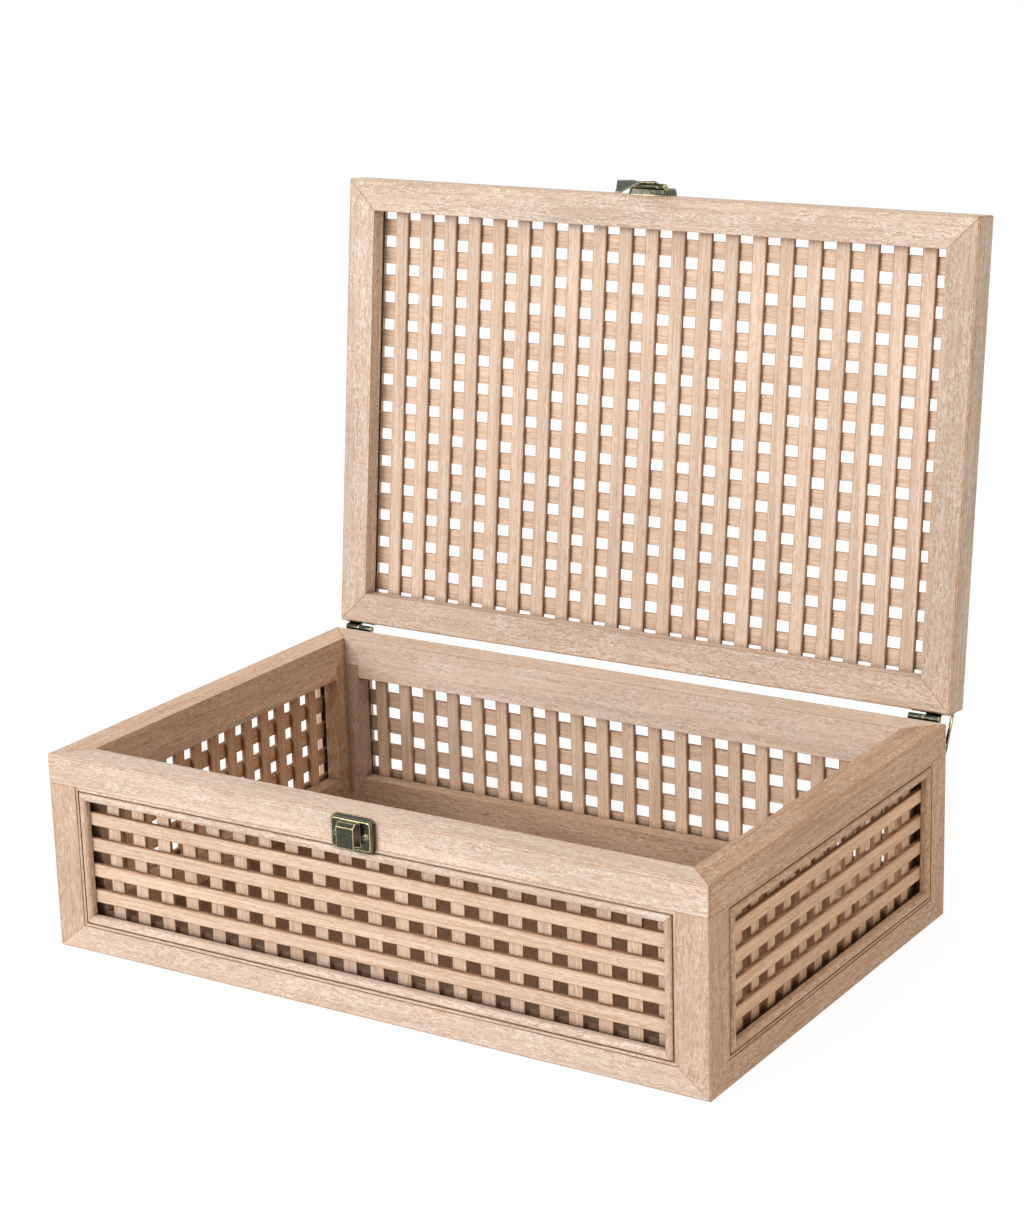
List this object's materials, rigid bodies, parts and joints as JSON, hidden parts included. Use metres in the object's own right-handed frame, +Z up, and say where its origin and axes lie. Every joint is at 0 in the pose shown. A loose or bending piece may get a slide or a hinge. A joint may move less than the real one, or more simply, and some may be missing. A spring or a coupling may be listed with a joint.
{
  "type": "lattice box with hinged lid",
  "caption": "Open rectangular wooden box with lattice walls and a lattice lid on stop hinges, closed by a hasp; holds papers and keepsakes.",
  "frame": {"origin": "centre of the underside of the base", "axes": "+Z up, the front with the keeper faces -Y, +X to the right seen from the front"},
  "size_m": [0.382, 0.3084, 0.3676],
  "materials": {
    "frame_wood": "limed blond hardwood, waxed, with eased edges",
    "lath_wood": "sawn laths, straight grain, waxed",
    "floor_wood": "stained brown board",
    "bronzed_steel": "pressed steel, bronzed, worn bright at the edges"
  },
  "bodies": {
    "base": {"back_bead_level": "frame_wood", "back_bead_upright": "frame_wood", "back_bottom_rail": "frame_wood", "back_cross_laths": "lath_wood", "back_stile_a": "frame_wood", "back_stile_b": "frame_wood", "back_top_rail": "frame_wood", "back_upright_laths": "lath_wood", "floor_board": "floor_wood", "front_bead_level": "frame_wood", "front_bead_upright": "frame_wood", "front_bottom_rail": "frame_wood", "front_cross_laths": "lath_wood", "front_stile_a": "frame_wood", "front_stile_b": "frame_wood", "front_top_rail": "frame_wood", "front_upright_laths": "lath_wood", "hinge_base_leaf_left": "bronzed_steel", "hinge_base_leaf_right": "bronzed_steel", "hinge_base_screws": "bronzed_steel", "hinge_pin_left": "bronzed_steel", "hinge_pin_right": "bronzed_steel", "keeper_plate": "bronzed_steel", "keeper_screws": "bronzed_steel", "left_bead_level": "frame_wood", "left_bead_upright": "frame_wood", "left_bottom_rail": "frame_wood", "left_cross_laths": "lath_wood", "left_stile_a": "frame_wood", "left_stile_b": "frame_wood", "left_top_rail": "frame_wood", "left_upright_laths": "lath_wood", "right_bead_level": "frame_wood", "right_bead_upright": "frame_wood", "right_bottom_rail": "frame_wood", "right_cross_laths": "lath_wood", "right_stile_a": "frame_wood", "right_stile_b": "frame_wood", "right_top_rail": "frame_wood", "right_upright_laths": "lath_wood"},
    "lid": {"hasp_pin": "bronzed_steel", "hasp_plate": "bronzed_steel", "hasp_screws": "bronzed_steel", "hinge_lid_leaf_left": "bronzed_steel", "hinge_lid_leaf_right": "bronzed_steel", "hinge_lid_screws": "bronzed_steel", "lid_back_rail": "frame_wood", "lid_bead_level": "frame_wood", "lid_bead_upright": "frame_wood", "lid_cross_laths": "lath_wood", "lid_front_rail": "frame_wood", "lid_left_rail": "frame_wood", "lid_long_laths": "lath_wood", "lid_right_rail": "frame_wood"},
    "hasp": {"hasp_loop": "bronzed_steel"}
  },
  "joints": [
    {"name": "lid_hinge", "type": "hinge", "parent": "base", "child": "lid", "pos_m": [0, 0.129, 0.10415], "axis": [1, 0, 0], "range_deg": [0, 96.3]},
    {"name": "hasp_hinge", "type": "hinge", "parent": "lid", "child": "hasp", "pos_m": [0, 0.16006, 0.36225], "axis": [-1, 0, 0], "range_deg": [0, 115]}
  ]
}
